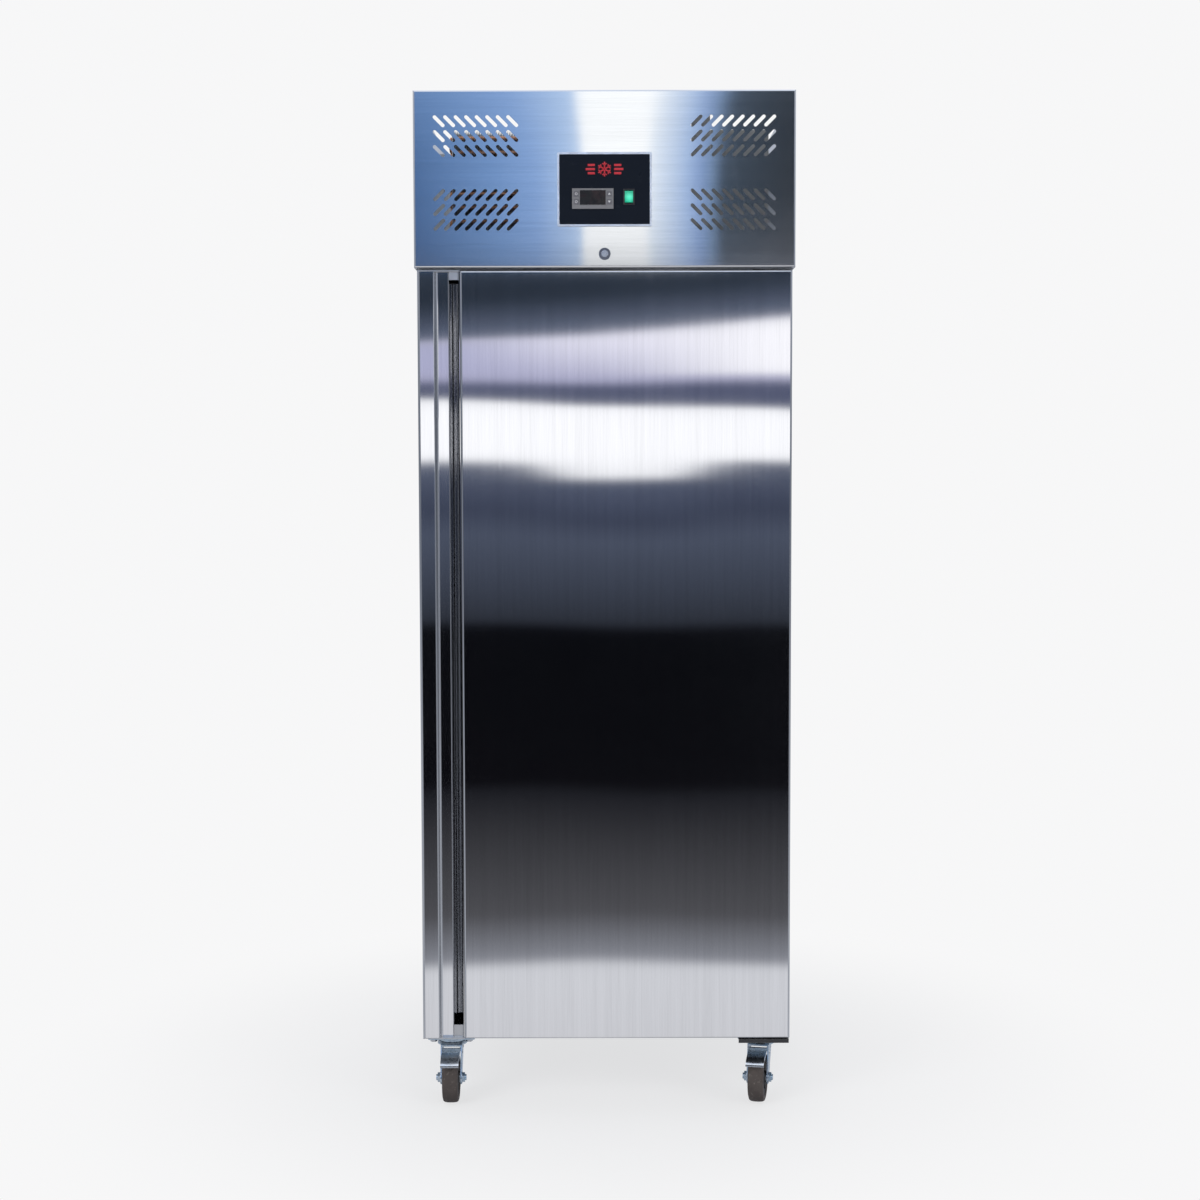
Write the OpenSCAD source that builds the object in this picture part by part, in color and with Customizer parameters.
// Reach-in refrigerator: one solid door, top-mounted cooling unit, four swivel casters.
// Millimetres. +Z is up, the door faces -Y, the origin is on the floor under the middle.

/* [Cabinet] */
// Width of the cabinet
cab_w = 740; // [700:5:760]
// Depth over everything, from the lock to the cord gland
overall_d = 830; // [800:5:860]
// Height over everything, from the floor to the head's top
overall_h = 2010; // [1960:5:2060]
// Thickness of the insulated walls
wall_t = 60; // [50:1:64]
// Thickness of the sheet metal
sheet = 1.2; // [0.8:0.1:1.5]

/* [Door] */
// Width of the door
door_w = 730; // [690:5:730]
// Thickness of the door without its gasket
door_t = 60; // [55:1:60]
// Gap between the door and the cabinet, which the gasket fills
gasket_gap = 7; // [6:0.5:8]
// Width of the finger slot beside the door's main face
grip_slot = 22; // [20:1:26]

/* [Head] */
// Height of the head panel
head_h = 340; // [320:5:350]
// Slots in one row of a louvre group
slot_columns = 8; // [4:1:9]
// Rows in one louvre group
slot_rows = 3; // [2:1:3]
// Length of one louvre slot
slot_len = 29.6; // [24:0.2:30]
// Width of one louvre slot
slot_wid = 7; // [5:0.5:8]

/* [Casters] */
// Height from the floor to the cabinet's underside
caster_h = 130; // [128:1:135]
// Diameter of a wheel
wheel_d = 100; // [96:1:102]
// Width of a wheel
wheel_w = 32; // [28:1:34]
// How far a wheel's axle is from its swivel axis
caster_trail = 36; // [30:1:40]

/* [Shelves] */
// Number of wire shelves
shelf_count = 3; // [3:1:3]
// Width of a shelf
shelf_w = 530; // [520:5:540]
// Depth of a shelf
shelf_d = 650; // [620:5:655]
// Height of the lowest shelf above the liner's floor
shelf_first = 260; // [240:10:280]
// Distance from one shelf to the next
shelf_pitch = 350; // [330:10:360]

/* [Hidden] */
$fn = 48;
eps = 0.01;
run = 0.05;         // radial clearance of a shaft in its hole
part_gap = 0.3;     // gap between pieces on different bodies
half_w = cab_w / 2;

// Places from front to back
front_y = -overall_d / 2;
trim_proud = 6;
head_y = front_y + trim_proud;
door_y = head_y + 5;
door_back = door_y + door_t;
cab_y = door_back + gasket_gap;
gland_proud = 3;
back_y = overall_d / 2 - gland_proud;

// Places from the floor up
door_z0 = caster_h + 18;
head_z = overall_h - head_h;
door_z1 = head_z - 4.5;
box_z1 = head_z + 1;
deck_z = box_z1 + sheet;

// The insulated box
panel_x = half_w - sheet;
frame_t = 8;
liner_y0 = cab_y + frame_t;
liner_x = half_w - wall_t - 2;
liner_z0 = caster_h + wall_t + 2;
liner_z1 = head_z - wall_t;
liner_y1 = back_y - wall_t;

// What stands in the liner
pilaster_y = [liner_y0 + 70, liner_y1 - 60];
pilaster_t = 10;
shelf_back = liner_y1 - 3;
liner_cove = 15;

// The door hinge
pin_x = half_w - 24;
pin_y = door_y + 32;
pin_r = 5;
bush_r = 9;
bush_h = 18;
bush_flange_r = 13;
fold_r = 4;
skin_corner = 6;
lower_screw_x = [half_w - 94, half_w - 56, half_w - 18];
lower_screw_z = caster_h + 6;
upper_screw_x = [half_w - 68, half_w - 16];
upper_screw_z = deck_z + 16;

// The handle at the door's free edge, in plan: a flat land, a sunken step, then the finger slot
door_x = door_w / 2;
land_w = 33;
step_w = 28;
step_depth = 11;
pocket_depth = 38;
pocket_front = 6;
slot_x1 = -door_x + land_w + step_w + grip_slot;
slot_x0 = slot_x1 - grip_slot;
gasket_x = pin_x - 5;
cap_t = 2;
grip_plug_top = 18;
grip_plug_bottom = 26;

// The head panel's own hinge
flip_y = cab_y - 18;
flip_z = overall_h - 12;
flip_r = 3;
head_flange_y = cab_y - 8;

// The control panel in the head
control_z = head_z + 149.5;
control_w = 183;
control_h = 142;
trim_w = 4;
ctl_x = -22.8;
ctl_z = head_z + 131.5;
ctl_w = 80;
ctl_h = 39;
ctl_body = [73, 31];
window_w = 50;
window_h = 28;
rocker_x = 47;
rocker_z = head_z + 135;
rocker_w = 22;
rocker_h = 30;
rocker_body = [20, 28];
lock_z = head_z + 26;
lock_r = 11.5;
button_w = 9;
button_h = 10;
button_x = [ctl_x - 32, ctl_x + 32];
button_z = [ctl_z + 9, ctl_z - 6];

// The louvre groups
slot_pitch_x = 20.3;
slot_pitch_z = 28.4;
slot_group_x = 249;
slot_group_z = [head_z + 252, head_z + 111];

// The casters: swivel axes, and how far each is turned at rest
caster_x = 314;
caster_y = [cab_y + 36, back_y - 42];
caster_turn = [0, -11, 6, -4];
wheel_r = wheel_d / 2;
fork_in = wheel_w / 2 + 3;
fork_t = 2.5;
crown_z = caster_h - 18;
plate_t = 4;
axle_r = 6;
pedal_pin = [-caster_trail + 10, wheel_r + 55];

// The cooling unit on the machine deck
unit_z = deck_z + sheet;
fan_z = deck_z + 128;
fan_r = 100;
fan_x = -150;
fan_y = cab_y + 130;
comp_x = 130;
comp_y = 120;
comp_r = 88;
coil_h = 282;
coil_rows = 10;
coil_pitch = 26;
evap_fan_z = liner_z1 - 80;
evap_fan_r = 62;
evap_y0 = 20;
evap_z0 = liner_z1 - 160;
pipe_x = [-60, -20];
pipe_y = 300;
pipe_hole_r = 7;
gland_x = 270;
gland_z = deck_z + 70;
gland_r = 10;
gland_bore = 5;
gland_len = 24;

// ---- Shared shapes ----

// A box from its lowest to its highest corner
module block(lo, hi) translate(lo) cube(hi - lo);

// A rod along one axis: "x", "y" or "z", from a point, with its length
module rod(p, axis, len, r)
    translate(p) rotate(axis == "x" ? [0, 90, 0] : axis == "y" ? [-90, 0, 0] : [0, 0, 0])
        cylinder(h = len, r = r);

function unit(v) = v / norm(v);
function left_of(v) = [-v.y, v.x];
function flip(p) = [for (i = [len(p) - 1:-1:0]) p[i]];

// One rounded corner of a path, as points on its arc
function fillet(a, b, c, r, n = 5) =
    let (u = unit(a - b), v = unit(c - b), half = acos(u * v) / 2,
         mid = b + unit(u + v) * r / sin(half),
         p = b + u * r / tan(half) - mid, q = b + v * r / tan(half) - mid,
         from = atan2(p.y, p.x), turn = ((atan2(q.y, q.x) - from + 540) % 360) - 180)
    [for (k = [0:n]) mid + r * [cos(from + turn * k / n), sin(from + turn * k / n)]];

// A path of [x, y, radius] corners, with each inner corner rounded
function bent(p) = [
    [p[0].x, p[0].y],
    for (i = [1:len(p) - 2]) each
        fillet([p[i-1].x, p[i-1].y], [p[i].x, p[i].y], [p[i+1].x, p[i+1].y], p[i].z),
    [p[len(p) - 1].x, p[len(p) - 1].y]
];

// The same path moved sideways by t, to its left for a positive t
function beside(p, t) = [
    for (i = [0:len(p) - 1])
        let (a = unit(i == 0 ? p[1] - p[0] : p[i] - p[i-1]),
             b = i == len(p) - 1 ? a : unit(p[i+1] - p[i]),
             n = unit(left_of(a + b)))
        p[i] + n * t / (n * left_of(a))
];

// Bent sheet metal: a path with thickness t on its left
module bent_sheet(corners, t) let (p = bent(corners)) polygon(concat(p, flip(beside(p, t))));

// A slot with straight sides and round ends, turned by an angle
module slot(len, wid, angle) rotate(angle) {
    square([len - wid, wid], center = true);
    for (s = [-1, 1]) translate([s * (len - wid) / 2, 0]) circle(r = wid / 2);
}

// A rectangle with round corners, centred
module round_rect(w, h, r) {
    square([w - 2 * r, h], center = true);
    square([w, h - 2 * r], center = true);
    for (x = [-1, 1], y = [-1, 1]) translate([x * (w / 2 - r), y * (h / 2 - r)]) circle(r = r);
}

// A block that reaches back from its front face, with the four edges round that face rounded
module front_rounded(lo, hi, r) intersection() {
    translate([0, 0, lo.z - 1]) linear_extrude(hi.z - lo.z + 2) front_outline(lo.x, hi.x, lo.y, hi.y, r);
    translate([lo.x - 1, 0, 0]) rotate([90, 0, 90]) linear_extrude(hi.x - lo.x + 2)
        mirror([1, -1]) front_outline(lo.z, hi.z, lo.y, hi.y, r);
}

// The outline of that block: a rectangle with its two front corners rounded
module front_outline(a0, a1, y0, y1, r) {
    translate([a0 + r, y0]) square([a1 - a0 - 2 * r, y1 - y0]);
    translate([a0, y0 + r]) square([a1 - a0, y1 - y0 - r]);
    for (a = [a0 + r, a1 - r]) translate([a, y0 + r]) circle(r = r);
}

// Sheet metal folded back along all four edges of its face, with round folds
module folded_tray(lo, hi, r) difference() {
    front_rounded(lo, hi, r);
    front_rounded(lo + [sheet, sheet, sheet], [hi.x - sheet, hi.y + 1, hi.z - sheet], r - sheet);
}

// Something drawn in X and Z, stood up and given depth along +Y from y
module upright(y, depth) translate([0, y + depth, 0]) rotate([90, 0, 0]) linear_extrude(depth) children();

// ---- Cabinet shell ----

// The holes that the two refrigerant lines go down through
module pipe_holes(z, depth) for (x = pipe_x) rod([x, pipe_y, z], "z", depth, pipe_hole_r);

// A side panel, drawn on the right: skin, front flange, and the lug that the head panel turns on
module side_panel() {
    lug = [14, 10];
    flange = 20;
    difference() {
        union() {
            block([panel_x, cab_y, caster_h], [half_w, back_y - sheet, overall_h]);
            block([half_w - flange, cab_y, caster_h], [panel_x + eps, cab_y + sheet, box_z1 - part_gap]);
            block([panel_x - 2.5, cab_y, flip_z - lug.y], [panel_x + eps, cab_y + lug.x, flip_z + lug.y]);
            block([panel_x - 2.5, flip_y - 8, flip_z - lug.y],
                  [panel_x - part_gap, cab_y + eps, flip_z + lug.y]);
        }
        rod([panel_x - 5, flip_y, flip_z], "x", 10, flip_r + run);
    }
}

module left_side_panel() color("lightsteelblue") mirror([1, 0, 0]) side_panel();
module right_side_panel() color("lightsteelblue") side_panel();

module back_panel() color("silver") difference() {
    block([-half_w, back_y - sheet, caster_h], [half_w, back_y, overall_h]);
    rod([gland_x, back_y - 5, gland_z], "y", 10, gland_r);
}

module bottom_panel() color("silver") difference() {
    block([-panel_x, cab_y + sheet, caster_h], [panel_x, back_y - sheet, caster_h + sheet]);
    for (c = [0:3], b = bolt_places(c)) rod([b.x, b.y, caster_h - 1], "z", 5, 4.2);
}

// The insulated box's lid, turned up at the front to carry the upper hinge bracket
module machine_deck() color("silver") difference() {
    union() {
        block([-panel_x, cab_y + sheet, box_z1], [panel_x, back_y - sheet, deck_z]);
        block([-panel_x, cab_y, box_z1], [panel_x, cab_y + sheet + eps, deck_z + 28]);
    }
    pipe_holes(box_z1 - 1, 4);
}

module cabinet_foam() color("khaki") difference() {
    block([-panel_x, liner_y0, caster_h + sheet], [panel_x, back_y - sheet, box_z1]);
    block([-liner_x - sheet, liner_y0 - 1, liner_z0 - sheet],
          [liner_x + sheet, liner_y1 + sheet, liner_z1 + sheet]);
    for (c = [0:3], b = bolt_places(c)) rod([b.x, b.y, caster_h], "z", 12, 5);
    pipe_holes(liner_z1, wall_t + 5);
}

// The liner's opening, seen from the front
module liner_outline()
    translate([0, (liner_z0 + liner_z1) / 2]) round_rect(2 * liner_x, liner_z1 - liner_z0, liner_cove);

// The inside: five walls with a round cove where they meet
module inner_liner() color("gainsboro") difference() {
    block([-liner_x - sheet, liner_y0, liner_z0 - sheet],
          [liner_x + sheet, liner_y1 + sheet, liner_z1 + sheet]);
    upright(liner_y0 - 1, liner_y1 - liner_y0 + 1) liner_outline();
    pipe_holes(liner_z1 - 1, 4);
}

module front_frame() color("gainsboro") {
    outer_x = half_w - 20;
    difference() {
        block([-outer_x, cab_y, caster_h + sheet], [outer_x, liner_y0, box_z1]);
        upright(cab_y - 1, frame_t + 2) liner_outline();
    }
}

// ---- Door hinge ----

// An angle whose pin goes down into the door's top
module upper_hinge_bracket() color("silver") {
    x0 = half_w - 80;
    x1 = half_w - 4;
    z0 = door_z1 + 3;
    difference() {
        union() {
            block([x0, cab_y - 4, z0], [x1, cab_y, deck_z + 26]);
            block([x0, pin_y - 12, z0], [x1, cab_y, z0 + 4]);
        }
        for (x = upper_screw_x) rod([x, cab_y - 5, upper_screw_z], "y", 6, 2.6);
    }
    rod([pin_x, pin_y, z0 - bush_h], "z", bush_h + eps, pin_r);
}

// A plate with a shelf that turns down at its front, and the pin that the door stands on
module lower_hinge_bracket() color("dimgray") {
    x0 = half_w - 106;
    x1 = half_w - 6;
    top = door_z0 - 3.5;
    difference() {
        union() {
            block([x0, cab_y - 4, caster_h + 1], [x1, cab_y, door_z0 - 2]);
            block([x0, pin_y - 26, top - 3.2], [x1, cab_y - 4 + eps, top]);
            block([x0, pin_y - 26, top - 8], [x1, pin_y - 23, top]);
        }
        for (x = lower_screw_x) rod([x, cab_y - 5, lower_screw_z], "y", 6, 2.6);
    }
    rod([pin_x, pin_y, door_z0 - 5], "z", bush_h + 3, pin_r);
    rod([pin_x, pin_y, door_z0 - 3.5 - eps], "z", 3.5 - part_gap, bush_r);
}

// ---- Inside the cabinet ----

function shelf_z(i) = liner_z0 + shelf_first + shelf_pitch * i;

// Four slotted posts that carry the runners
module shelf_pilasters() color("silver") for (s = [0, 1], y = pilaster_y) mirror([s, 0, 0]) difference() {
    x0 = liner_x - pilaster_t;
    hook_pitch = 40;
    block([x0, y - 15, liner_z0 + 25], [liner_x, y + 15, evap_z0 - 30]);
    for (i = [0:shelf_count - 1], k = [-2:2])
        translate([x0, y, shelf_z(i) - 9 + hook_pitch * k]) block([-1, -6, -5], [4, 6, 5]);
}

// A runner for each side of each shelf: a flat that the shelf slides on, and a guide wall
module shelf_runners() color("silver") for (i = [0:shelf_count - 1], s = [0, 1]) mirror([s, 0, 0]) {
    x1 = liner_x - pilaster_t - part_gap;
    y0 = pilaster_y[0] - 35;
    y1 = shelf_back + 1.5;
    block([shelf_w / 2 - 18, y0, shelf_z(i) - 4], [x1, y1, shelf_z(i) - 2.5]);
    block([shelf_w / 2 + 3, y0, shelf_z(i) - 4], [shelf_w / 2 + 4.5, y1, shelf_z(i) + 14]);
    block([shelf_w / 2 - 18, y1 - 1.5, shelf_z(i) - 4], [shelf_w / 2 + 4, y1, shelf_z(i) + 14]);
}

// A wire shelf: a rim, two cross bars under, and wires from front to back
module wire_shelf(i) {
    rim = 7;
    wires = 21;
    translate([0, shelf_back - part_gap - shelf_d, shelf_z(i) - 2.5 + part_gap]) {
        difference() {
            block([-shelf_w / 2, 0, 0], [shelf_w / 2, shelf_d, rim]);
            block([-shelf_w / 2 + rim, rim, -1], [shelf_w / 2 - rim, shelf_d - rim, rim + 1]);
        }
        for (y = [shelf_d / 3, shelf_d * 2 / 3])
            block([-shelf_w / 2 + rim - eps, y, 0], [shelf_w / 2 - rim + eps, y + 6, 3]);
        for (k = [1:wires]) translate([shelf_w * (k / (wires + 1) - 1 / 2), rim - 2, rim - 3])
            rod([0, 0, 0], "y", shelf_d - 2 * rim + 4, 1.9);
    }
}

module shelf_bottom() color("gainsboro") wire_shelf(0);
module shelf_middle() color("gainsboro") wire_shelf(1);
module shelf_top() color("gainsboro") wire_shelf(2);

// The evaporator's cover under the ceiling, with the fan opening in its front and slots behind
module air_duct() color("silver") difference() {
    x = liner_x - liner_cove - 1;
    y1 = liner_y1 - 1;
    block([-x, evap_y0, evap_z0], [x, y1, liner_z1]);
    block([-x + sheet, evap_y0 + sheet, evap_z0 + sheet], [x - sheet, y1 + 1, liner_z1 + 1]);
    rod([0, evap_y0 - 1, evap_fan_z], "y", 5, evap_fan_r + 6);
    for (k = [-6:6]) block([40 * k - 12, y1 - 60, evap_z0 - 1], [40 * k + 12, y1 - 20, evap_z0 + 2]);
}

module evaporator_coil() color("lightgray") {
    block([-230, evap_y0 + 130, evap_z0 + 15], [230, evap_y0 + 210, liner_z1 - 15]);
    for (x = [-233, 230]) block([x, evap_y0 + 125, evap_z0 + 10], [x + 3, evap_y0 + 215, liner_z1]);
}

// The evaporator fan's motor on a bar across the duct's opening
module evaporator_fan_motor() color("dimgray") {
    rod([0, evap_y0 + 45, evap_fan_z], "y", 45, 28);
    rod([0, evap_y0 + 30, evap_fan_z], "y", 16, 4);
    block([-90, evap_y0 + 75, evap_fan_z - 8], [90, evap_y0 + 78, evap_fan_z + 8]);
    for (x = [-88, 88]) block([x - 2, evap_y0 + 77, evap_fan_z - 8], [x + 2, evap_y0 + 80, liner_z1]);
}

// Blades set at an angle on a hub, cut to a round outline; the hub's bore fits the motor shaft
module fan_blades(r, hub_r, depth, blades, shaft_r, pitch) difference() {
    union() {
        cylinder(h = depth, r = hub_r);
        intersection() {
            for (k = [0:blades - 1]) rotate([0, 0, 360 * k / blades]) translate([hub_r - 3, 0, depth / 2])
                rotate([pitch, 0, 0]) translate([0, -r * 0.28, -0.8]) cube([r, r * 0.56, 1.6]);
            translate([0, 0, -2]) cylinder(h = depth + 4, r = r);
        }
    }
    translate([0, 0, -1]) cylinder(h = depth + 2, r = shaft_r);
}

module evaporator_fan() color("black")
    translate([0, evap_y0 + 44, evap_fan_z]) rotate([90, 0, 0])
        fan_blades(evap_fan_r, hub_r = 16, depth = 18, blades = 5, shaft_r = 4 + run, pitch = 24);

// ---- Cooling unit ----

module unit_base() color("darkslategray") difference() {
    block([-330, cab_y + 60, deck_z], [330, back_y - 60, unit_z]);
    for (x = [-300, 300], y = [cab_y + 80, back_y - 80]) rod([x, y, deck_z - 1], "z", 4, 4.5);
    pipe_holes(deck_z - 1, 4);
}

// A hermetic compressor: a welded steel pot on a foot plate with rubber mounts
module compressor() color("black") translate([comp_x, comp_y, unit_z]) {
    translate([0, 0, 14]) rotate_extrude() polygon(concat(
        [[0, 0]], fillet([0, 0], [comp_r - 8, 0], [comp_r, 60], 20),
        [[comp_r, 78], [comp_r + 4, 78], [comp_r + 4, 86], [comp_r, 86]],
        fillet([comp_r, 86], [comp_r - 6, 178], [0, 190], 45, 8), [[0, 184]]));
    difference() {
        block([-95, -95, 8], [95, 95, 11]);
        for (x = [-80, 80], y = [-80, 80]) rod([x, y, 7], "z", 5, 5);
    }
    rod([0, 0, 10], "z", 6, 60);
    for (x = [-80, 80], y = [-80, 80]) rod([x, y, 0], "z", 8, 11);
    block([comp_r - 6, -24, 70], [comp_r + 30, 24, 125]);
}

// The finned block between its two end plates, with the ends of its tubes
module condenser_coil() color("lightgray") {
    x0 = fan_x - 150;
    x1 = fan_x + 150;
    y0 = fan_y - 90;
    block([x0, y0, unit_z + 6], [x1, y0 + 66, unit_z + coil_h - 6]);
    for (x = [x0 - 2, x1]) block([x, y0 - 8, unit_z], [x + 2, y0 + 90, unit_z + coil_h]);
    for (k = [0:coil_rows - 1], x = [x0 - 10, x1 + 2])
        rod([x, y0 + 33, unit_z + 20 + coil_pitch * k], "x", 8, 6);
}

// The fan's shroud behind the coil, and the motor that a bar holds in it
module condenser_fan_shroud() color("dimgray") {
    y = fan_y + 4;
    difference() {
        block([fan_x - 140, y, unit_z], [fan_x + 140, y + 1.5, unit_z + coil_h - 6]);
        rod([fan_x, y - 1, fan_z], "y", 4, fan_r + 6);
    }
    rod([fan_x, y + 60, fan_z], "y", 50, 36);
    rod([fan_x, y + 30, fan_z], "y", 31, 5);
    block([fan_x - 12, y + 95, unit_z], [fan_x + 12, y + 99, fan_z]);
    block([fan_x - 40, y + 80, unit_z], [fan_x + 40, y + 120, unit_z + 2]);
}

module condenser_fan() color("gainsboro")
    translate([fan_x, fan_y + 54, fan_z]) rotate([90, 0, 0])
        fan_blades(fan_r, hub_r = 22, depth = 26, blades = 5, shaft_r = 5 + run, pitch = 28);

// A round tube swept along a path of points, with its rings square to the path
module tube(path, r, sides = 8) {
    n = len(path);
    function heading(i) = unit(path[min(i + 1, n - 1)] - path[max(i - 1, 0)]);
    function across(t) = unit(cross(t, abs(t.z) > 0.9 ? [1, 0, 0] : [0, 0, 1]));
    points = [for (i = [0:n - 1], k = [0:sides - 1])
        let (t = heading(i), u = across(t), v = cross(t, u), a = 360 * k / sides)
        path[i] + r * (cos(a) * u + sin(a) * v)];
    faces = concat(
        [[for (k = [0:sides - 1]) k]],
        [for (i = [0:n - 2], k = [0:sides - 1])
            let (a = i * sides + k, b = i * sides + (k + 1) % sides) [a, a + sides, b + sides, b]],
        [[for (k = [sides - 1:-1:0]) (n - 1) * sides + k]]);
    polyhedron(points, faces);
}

// A straight run of points rounded at its corners, as a bent copper tube is
function arc3(a, b, c, r, n = 4) =
    let (u = unit(a - b), v = unit(c - b), half = acos(u * v) / 2, mid = b + unit(u + v) * r / sin(half),
         p = b + u * r / tan(half) - mid, q = b + v * r / tan(half) - mid, turn = 180 - 2 * half,
         w = unit(q - p * cos(turn)))
    [for (k = [0:n]) mid + p * cos(turn * k / n) + r * w * sin(turn * k / n)];
function copper_run(p, r) = [
    p[0],
    for (i = [1:len(p) - 2]) each arc3(p[i-1], p[i], p[i+1], r),
    p[len(p) - 1]
];

// Discharge, liquid and suction lines, and the filter drier in the liquid line
module refrigerant_pipes() color("peru") {
    header_x = fan_x + 161;
    header_y = fan_y - 57;
    low = unit_z + 22;
    high = unit_z + 20 + coil_pitch * (coil_rows - 1);
    riser = [fan_x + 190, comp_y - 140];
    drier = [fan_x + 230, fan_y + 90];
    bypass_x = comp_x - 110;
    evap_y = evap_y0 + 211;
    tube(copper_run([[comp_x - 40, comp_y - 80.6, unit_z + 60], [comp_x - 40, riser.y, unit_z + 60],
        [riser.x, riser.y, unit_z + 60], [riser.x, riser.y, high], [riser.x, header_y, high],
        [header_x, header_y, high]], 14), 4);
    tube(copper_run([[header_x, header_y, low], [drier.x, header_y, low], [drier.x, drier.y, low]], 14), 3);
    rod([drier.x, drier.y, low], "y", 110, 11);
    tube(copper_run([[drier.x, drier.y + 110, low], [drier.x, comp_y - 105, low],
        [bypass_x, comp_y - 105, low], [bypass_x, 200, low], [pipe_x[0], 200, low],
        [pipe_x[0], pipe_y, low], [pipe_x[0], pipe_y, liner_z1 - 40],
        [pipe_x[0], evap_y, liner_z1 - 40]], 10), 3);
    tube(copper_run([[comp_x - 30, comp_y + 84.6, unit_z + 70], [comp_x - 30, comp_y + 150, unit_z + 70],
        [pipe_x[1], comp_y + 150, unit_z + 70], [pipe_x[1], pipe_y, unit_z + 70],
        [pipe_x[1], pipe_y, liner_z1 - 70], [pipe_x[1], evap_y, liner_z1 - 70]], 14), 5);
}

module evaporation_tray() color("dimgray") difference() {
    block([-310, 210, unit_z], [-120, 330, unit_z + 60]);
    block([-308, 212, unit_z + 2], [-122, 328, unit_z + 61]);
}

// Slotted trunking for wires, open towards the front through its slots
module wire_trunking(lo, hi) difference() {
    block(lo, hi);
    for (z = [lo.z + 30:25:hi.z - 20]) block([lo.x - 1, lo.y - 1, z], [hi.x + 1, lo.y + 2, z + 5]);
}

// The steel box for the relay and capacitor, its screwed lid, and the trunking for the head's wires
module electrical_box() color("gainsboro") {
    lo = [212, cab_y + 62, unit_z];
    hi = [328, cab_y + 152, unit_z + coil_h - 1];
    block(lo + [0, 1.5, 0], hi);
    block(lo + [3, 0, 3], [hi.x - 3, lo.y + 2, hi.z - 3]);
    for (x = [lo.x + 10, hi.x - 10], z = [lo.z + 12, hi.z - 12]) rod([x, lo.y - 2, z], "y", 3, 4);
    wire_trunking([172, cab_y + 5, deck_z], [208, cab_y + 35, deck_z + 304]);
}

// The mains cord's gland in the back panel, open from end to end
module cord_gland() color("black") difference() {
    union() {
        rod([gland_x, back_y - gland_len + gland_proud, gland_z], "y", gland_len, gland_r - 0.1);
        rod([gland_x, back_y, gland_z], "y", gland_proud, gland_r + 4);
        translate([gland_x, back_y - sheet - 6, gland_z]) rotate([-90, 0, 0])
            cylinder(h = 6, r = gland_r + 5, $fn = 6);
    }
    rod([gland_x, back_y - gland_len, gland_z], "y", gland_len + 10, gland_bore);
}

// ---- Door ----

// The door's outer skin: a tray folded back all round, open where the handle channel meets it
module door_skin() color("slategray") difference() {
    folded_tray([slot_x1, door_y, door_z0], [door_x, door_back - sheet - part_gap, door_z1], fold_r);
    block([slot_x1 - 1, door_y + 5, door_z0 + skin_corner], [slot_x1 + 2, door_back, door_z1 - skin_corner]);
    for (z = [door_z0 - 1, door_z1 - 2]) rod([pin_x, pin_y, z], "z", 3, bush_flange_r + 0.1);
    cam_slot();
}

// The slot in the door's top that the lock's cam drops into
module cam_slot() block([-8, door_y + 12, door_z1 - 30], [30, door_y + 24, door_z1 + 1]);

// The handle at the free edge: land, step with its lip, and the finger pocket behind the lip
module handle_channel() color("lightgray")
    translate([0, 0, door_z0 + cap_t]) linear_extrude(door_z1 - door_z0 - 2 * cap_t) bent_sheet([
        [-door_x + 12, door_back - sheet - part_gap, 0], [-door_x, door_back - sheet - part_gap, 1.5],
        [-door_x, door_y, 5], [-door_x + land_w, door_y, 2], [-door_x + land_w + 3, door_y + step_depth, 5],
        [slot_x0, door_y + step_depth, 1.5], [slot_x0, door_y + step_depth + 4.5, 1.3],
        [slot_x0 - 22, door_y + step_depth + 4.5, 3], [slot_x0 - 22, door_y + pocket_depth, 3],
        [slot_x0 - 2, door_y + pocket_depth, 8], [slot_x1 - sheet - part_gap, door_y + pocket_front, 2],
        [slot_x1 - sheet - part_gap, door_y + 3, 0]], sheet);

module door_foam() color("khaki") difference() {
    z0 = door_z0 + skin_corner + part_gap;
    z1 = door_z1 - skin_corner - part_gap;
    back = door_back - 2 * sheet - 2 * part_gap;
    union() {
        block([slot_x1 + 4, door_y + sheet, z0], [door_x - 6, back, z1]);
        block([-door_x + 6, door_y + pocket_depth + 2, z0], [slot_x1 + 5, back, z1]);
    }
    for (z = [z0 - 1, z1 - 24]) block([pin_x - 16, door_y, z], [door_x, door_back, z + 25]);
    block([-12, door_y + 8, z1 - 28], [34, door_y + 28, z1 + 1]);
}

// The inner panel: a flat rim for the gasket and a raised middle
module door_liner() color("gainsboro") {
    rim_z = [door_z0 + 1, door_z1 - 1];
    mid_x = liner_x - 22;
    lo = [-mid_x, door_back - eps, liner_z0 + 22];
    hi = [mid_x, door_back + 6, liner_z1 - 22];
    block([-door_x + 2, door_back - sheet, rim_z[0]], [door_x - 2, door_back, rim_z[1]]);
    difference() {
        block(lo, hi);
        block(lo + [sheet, -1, sheet], hi - [sheet, sheet, sheet]);
    }
}

// One closed ring of the gasket, inset from its outline, with its width and its extent in Y
module gasket_ring(inset, w, y0, y1) difference() {
    z0 = liner_z0 - 26 + inset;
    z1 = liner_z1 + 26 - inset;
    x = gasket_x - inset;
    block([-x, y0, z0], [x, y1, z1]);
    block([-x + w, y0 - 1, z0 + w], [x - w, y1 + 1, z1 - w]);
}

// The magnetic gasket: a base in the rim and a bellows with its magnet bar, all round the door
module door_gasket() color("lightgray") {
    gasket_ring(3, 10, door_back, door_back + 2.5);
    gasket_ring(0, 14, door_back + 2.5 - eps, cab_y - part_gap);
}

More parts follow.
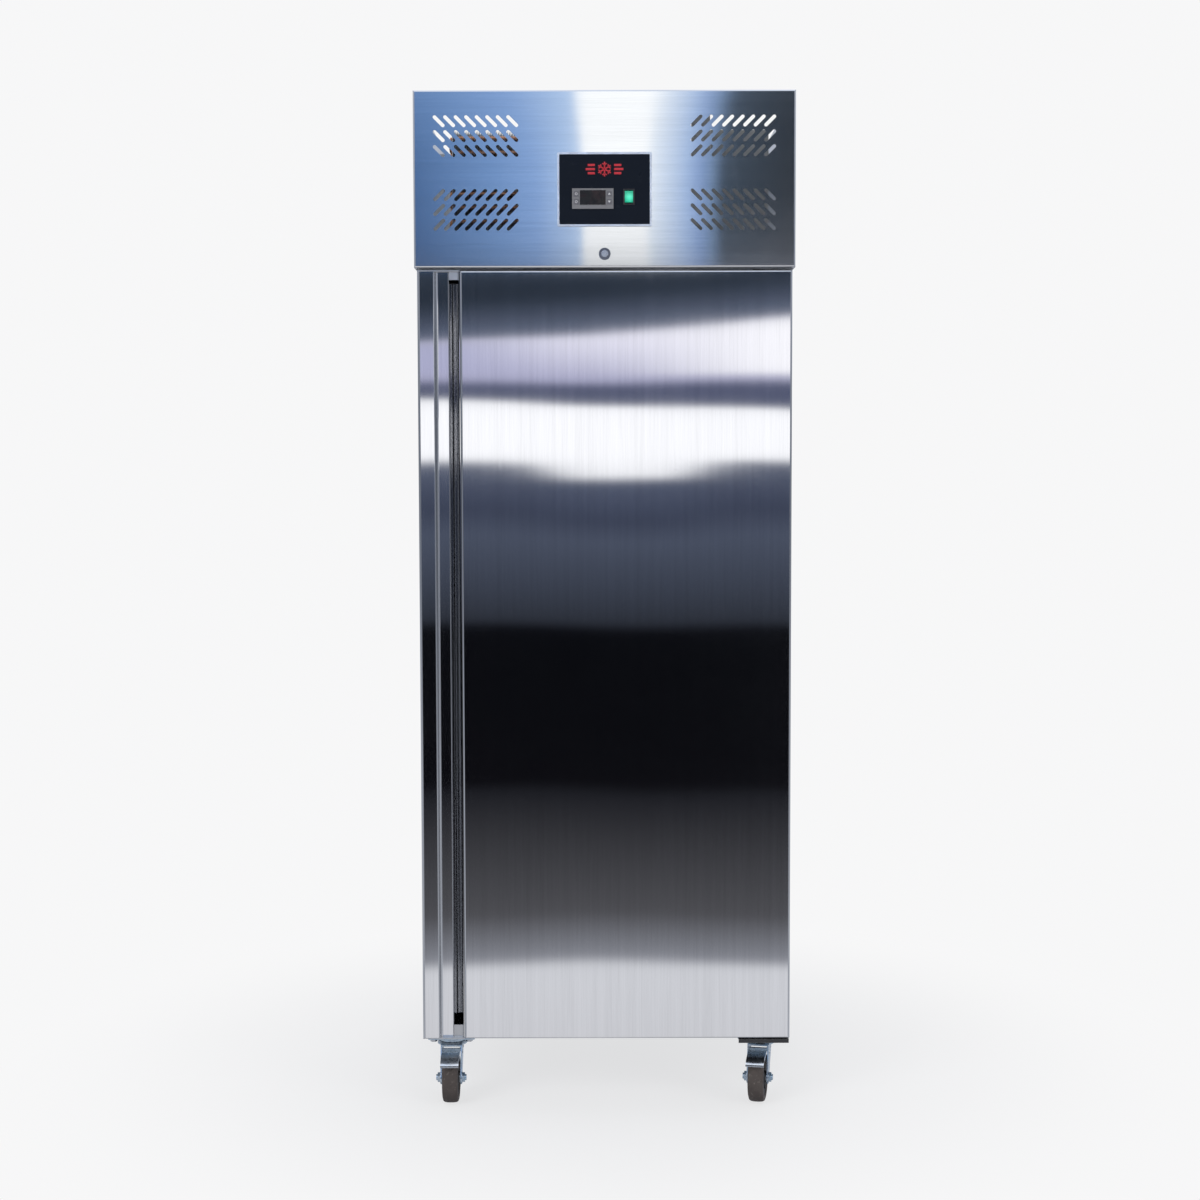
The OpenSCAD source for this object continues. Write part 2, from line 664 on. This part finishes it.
// A cap for one end of the handle channel, with the plug that closes the finger slot's end
module end_cap(plug) {
    front = 9;
    back = 13;
    // How far left of the slot's right edge the pocket's slanted wall is, at a depth behind the face
    function slant(depth) =
        (depth - pocket_front) * (grip_slot + 2) / (pocket_depth - pocket_front) + sheet + 2 * part_gap;
    block([-door_x, door_y + 0.4, 0], [slot_x1 - 0.1, door_back - sheet - part_gap - 0.1, cap_t - 0.05]);
    translate([0, door_y, cap_t - 0.1]) linear_extrude(plug - cap_t) polygon([
        [slot_x0 + part_gap, front], [slot_x1 - slant(front), front],
        [slot_x1 - slant(back), back], [slot_x0 + part_gap, back]]);
}

module door_end_caps() color("darkgray") {
    translate([0, 0, door_z0]) end_cap(grip_plug_bottom);
    translate([0, 0, door_z1]) mirror([0, 0, 1]) end_cap(grip_plug_top);
}

// The two hinge bushes, flush with the door's ends and bored for the pins
module door_hinge_bushes() color("black") for (end = [door_z0, door_z1]) difference() {
    inward = end == door_z0 ? 1 : -1;
    low = min(end + 0.1 * inward, end + 22 * inward);
    rod([pin_x, pin_y, low], "z", 21.9, bush_flange_r);
    rod([pin_x, pin_y, inward > 0 ? end - 1 : end - bush_h], "z", bush_h + 1, pin_r + run);
}

// ---- Head panel ----

// The cut-outs that the controller's and the rocker's bodies go through
module control_cutouts() {
    translate([ctl_x, ctl_z]) square(ctl_body + [1, 1], center = true);
    translate([rocker_x, rocker_z]) square(rocker_body, center = true);
}

// The openings in the head panel's face: louvres, the controls' cut-outs and the lock's hole
module head_openings() {
    for (side = [-1, 1], g = [0, 1], i = [0:slot_columns - 1], j = [0:slot_rows - 1])
        translate([side * slot_group_x + (i - (slot_columns - 1) / 2) * slot_pitch_x,
                   slot_group_z[g] + ((slot_rows - 1) / 2 - j) * slot_pitch_z])
            slot(slot_len, slot_wid, (g == 0 ? 45 : -45) * side);
    control_cutouts();
    translate([0, lock_z]) circle(r = 9);
}

// The head panel: a folded tray with short top and bottom returns, and its two pivot studs
module head_panel() color("cornflowerblue") {
    difference() {
        folded_tray([-half_w, head_y, head_z], [half_w, head_flange_y, overall_h], fold_r - 0.5);
        block([-panel_x, head_y + 30, overall_h - 5], [panel_x, head_flange_y + 1, overall_h + 1]);
        block([-panel_x, head_y + 17, head_z - 1], [panel_x, head_flange_y + 1, head_z + 5]);
        upright(head_y - 1, 4) head_openings();
    }
    for (x = [-panel_x - 0.5, panel_x - 5.5]) rod([x, flip_y, flip_z], "x", 6, flip_r);
}

module control_plate() color("black") upright(head_y - 2, 2) difference() {
    translate([0, control_z]) round_rect(control_w - 2 * trim_w, control_h - 2 * trim_w, 1.5);
    control_cutouts();
}

module control_trim() color("silver") upright(head_y - 3, 3) translate([0, control_z]) difference() {
    round_rect(control_w, control_h, 3);
    round_rect(control_w - 2 * trim_w, control_h - 2 * trim_w, 1.5);
}

// A block centred on (x, z), w wide and h high, from depth y0 to y1 behind the head panel's face
module faced(x, z, w, h, y0, y1)
    block([x - w / 2, head_y + y0, z - h / 2], [x + w / 2, head_y + y1, z + h / 2]);

// The controller: a bezel in front of the plate and the body behind it
module controller_housing() color("silver") difference() {
    union() {
        faced(ctl_x, ctl_z, ctl_w, ctl_h, -5, -2);
        faced(ctl_x, ctl_z, ctl_body.x, ctl_body.y, -2 - eps, 50);
    }
    faced(ctl_x, ctl_z + 2, window_w, window_h, -6, -3.5);
    for (x = button_x, z = button_z) faced(x, z, button_w + 0.7, button_h + 0.7, -6, -3);
}

module controller_window() color("black") faced(ctl_x, ctl_z + 2, window_w, window_h, -4.8, -3.5);

// One push button, flush with the bezel, with room behind it for its travel
module push_button(x, z) color("darkgray") faced(x, z, button_w, button_h, -5.6, -4.2);

module button_set() push_button(button_x[0], button_z[0]);
module button_defrost() push_button(button_x[0], button_z[1]);
module button_up() push_button(button_x[1], button_z[0]);
module button_down() push_button(button_x[1], button_z[1]);

module rocker_bezel() color("black") difference() {
    union() {
        faced(rocker_x, rocker_z, rocker_w, rocker_h, -4, -2);
        faced(rocker_x, rocker_z, rocker_body.x - 0.4, rocker_body.y - 0.4, -2 - eps, 22);
    }
    faced(rocker_x, rocker_z, 16.6, 26.4, -5, 14);
    rod([rocker_x - 9.6, head_y + 4, rocker_z], "x", 19.2, 1.5 + run);
}

// The green paddle: two faces that meet in a shallow V, on a cross pin
module rocker_paddle() color("seagreen") {
    translate([rocker_x - 8, 0, 0]) rotate([90, 0, 90]) linear_extrude(16)
        translate([head_y, rocker_z])
            polygon([[-5.4, 10.8], [-3.2, -1], [-2.2, -10.8], [5, -9], [7, 0], [4, 10]]);
    rod([rocker_x - 9.4, head_y + 4, rocker_z], "x", 18.8, 1.5);
}

module lock_housing() color("dimgray") difference() {
    union() {
        rod([0, head_y - 3.5, lock_z], "y", 3.5, lock_r);
        rod([0, head_y - eps, lock_z], "y", 20, 8.9);
    }
    rod([0, head_y - 5, lock_z], "y", 30, 6.5 + run);
}

// The lock's plug with a key slot, and the cam on its tail
module lock_plug() color("silver") {
    difference() {
        rod([0, front_y, lock_z], "y", trim_proud + 22, 6.5);
        block([-0.8, front_y - 1, lock_z - 4.5], [0.8, front_y + 4, lock_z + 4.5]);
    }
    block([-6, head_y + 20.5, lock_z - 6], [38, head_y + 23.5, lock_z + 6]);
}

// ---- Casters ----

// The four bolts of caster c, as places on the cabinet's underside
function caster_at(c) = [c % 2 == 0 ? -caster_x : caster_x, caster_y[c < 2 ? 0 : 1]];
function bolt_places(c) = [for (x = [-36, 36], y = [-24, 24]) caster_at(c) + [x, y]];

module caster_plates() color("silver") for (c = [0:3]) difference() {
    p = caster_at(c);
    union() {
        translate([p.x, p.y, caster_h - plate_t]) linear_extrude(plate_t) round_rect(95, 67, 5);
        rod([p.x, p.y, caster_h - 11], "z", 8, 26);
    }
    rod([p.x, p.y, caster_h - 20], "z", 30, axle_r + run);
    for (b = bolt_places(c)) rod([b.x, b.y, caster_h - 10], "z", 20, 4.2);
}

// A caster's parts, drawn with the swivel axis on Z and the wheel in front, then set in place
module at_caster(c)
    translate([caster_at(c).x, caster_at(c).y, 0]) rotate([0, 0, caster_turn[c]]) children();

// Something drawn in Y and Z, stood up and given depth along +X from x
module sideways(x, depth) translate([x, 0, 0]) rotate([90, 0, 90]) linear_extrude(depth) children();

// The fork: a crown under the plate, two legs, and the axle with its nuts
module caster_fork(c) color("lightsteelblue") at_caster(c) {
    leg_x = fork_in + fork_t;
    difference() {
        union() {
            translate([0, 0, crown_z]) cylinder(h = 3, r = 30);
            block([-leg_x, -34, crown_z], [leg_x, 22, crown_z + 3]);
            for (x = [-leg_x, fork_in]) sideways(x, fork_t) hull() {
                translate([-caster_trail, wheel_r]) circle(r = 14);
                translate([-34, crown_z - 2]) square([56, 5]);
            }
            translate([0, 0, crown_z + 3 - eps]) cylinder(h = 3.6, r = 22);
            translate([0, 0, crown_z]) cylinder(h = caster_h - crown_z - 1, r = axle_r);
        }
        for (s = [-1, 1]) rod([s * leg_x - 3, pedal_pin.x, pedal_pin.y], "x", 6, 2.5 + run);
    }
    rod([-leg_x - 9, -caster_trail, wheel_r], "x", 2 * leg_x + 18, axle_r);
    for (x = [-leg_x - 6, leg_x]) translate([x, -caster_trail, wheel_r]) rotate([0, 90, 0])
        cylinder(h = 6, r = 10, $fn = 6);
}

// A wheel: a tread with round shoulders and a hub, bored for the axle
module caster_wheel(c) color("dimgray") at_caster(c)
translate([0, -caster_trail, wheel_r]) rotate([0, 90, 0]) {
    tread = wheel_w / 2;
    hub = 37;
    bore = axle_r + run;
    boss = [[bore, tread + 1], [13, tread + 1], [15, tread - 7], [hub - 6, tread - 7], [hub, tread - 4]];
    rotate_extrude() polygon(concat(
        [[hub, -tread + 4]], fillet([hub, -tread], [wheel_r, -tread], [wheel_r, 0], 7),
        fillet([wheel_r, 0], [wheel_r, tread], [hub, tread], 7), [[hub, tread - 4]]));
    rotate_extrude() polygon(concat([for (p = boss) [p.x, -p.y]], flip(boss)));
}

// The brake: a pedal in front of the fork, on a pin through both legs
module brake_pedal(c) color("silver") at_caster(c) {
    arm_x = fork_in - 0.6;
    tip = -caster_trail - 58 - pedal_pin.x;
    plate = [[-12, -1.2], [-11, 1.2], [tip + 14, -6], [tip, -15], [tip, -18], [tip + 12, -9]];
    side = [[4, -3.2], [4, 3.2], [-12, 1.2], [tip + 14, -6], [tip + 22, -12], [-8, -3.2]];
    sideways(-arm_x, 2 * arm_x) translate(pedal_pin) polygon(plate);
    for (x = [-arm_x, arm_x - 2]) sideways(x, 2) translate(pedal_pin) polygon(side);
    rod([-fork_in - fork_t + 0.2, pedal_pin.x, pedal_pin.y], "x", 2 * (fork_in + fork_t) - 0.4, 2.5);
}

// ---- Fasteners ----

// A pan-head screw that goes in along +Y by len, with its head in front of p
module screw_y(p, len, r = 2.5) {
    rod([p.x, p.y - 2, p.z], "y", 2, 2 * r);
    rod([p.x, p.y - eps, p.z], "y", len + eps, r);
}

// The casters' bolts and the hinge brackets' screws
module panel_screws() color("silver") {
    for (c = [0:3], b = bolt_places(c)) {
        translate([b.x, b.y, caster_h - plate_t - 5]) cylinder(h = 5, r = 7, $fn = 6);
        rod([b.x, b.y, caster_h - plate_t - eps], "z", 14, 4);
    }
    for (x = lower_screw_x) screw_y([x, cab_y - 4, lower_screw_z], 4);
    for (x = upper_screw_x) screw_y([x, cab_y - 4, upper_screw_z], 4);
}

left_side_panel();
right_side_panel();
back_panel();
bottom_panel();
machine_deck();
cabinet_foam();
inner_liner();
front_frame();
upper_hinge_bracket();
lower_hinge_bracket();
shelf_pilasters();
shelf_runners();
air_duct();
evaporator_coil();
evaporator_fan_motor();
compressor();
condenser_coil();
condenser_fan_shroud();
refrigerant_pipes();
unit_base();
evaporation_tray();
electrical_box();
cord_gland();
caster_plates();
panel_screws();
door_skin();
handle_channel();
door_foam();
door_liner();
door_gasket();
door_end_caps();
door_hinge_bushes();
head_panel();
control_plate();
control_trim();
controller_housing();
controller_window();
rocker_bezel();
lock_housing();
rocker_paddle();
button_set();
button_up();
button_down();
button_defrost();
lock_plug();
condenser_fan();
evaporator_fan();
shelf_top();
shelf_middle();
shelf_bottom();
caster_fork(0);  // caster_fork_fl
caster_fork(1);  // caster_fork_fr
caster_fork(2);  // caster_fork_rl
caster_fork(3);  // caster_fork_rr
caster_wheel(0);  // caster_wheel_fl
caster_wheel(1);  // caster_wheel_fr
caster_wheel(2);  // caster_wheel_rl
caster_wheel(3);  // caster_wheel_rr
brake_pedal(0);  // brake_pedal_fl
brake_pedal(1);  // brake_pedal_fr
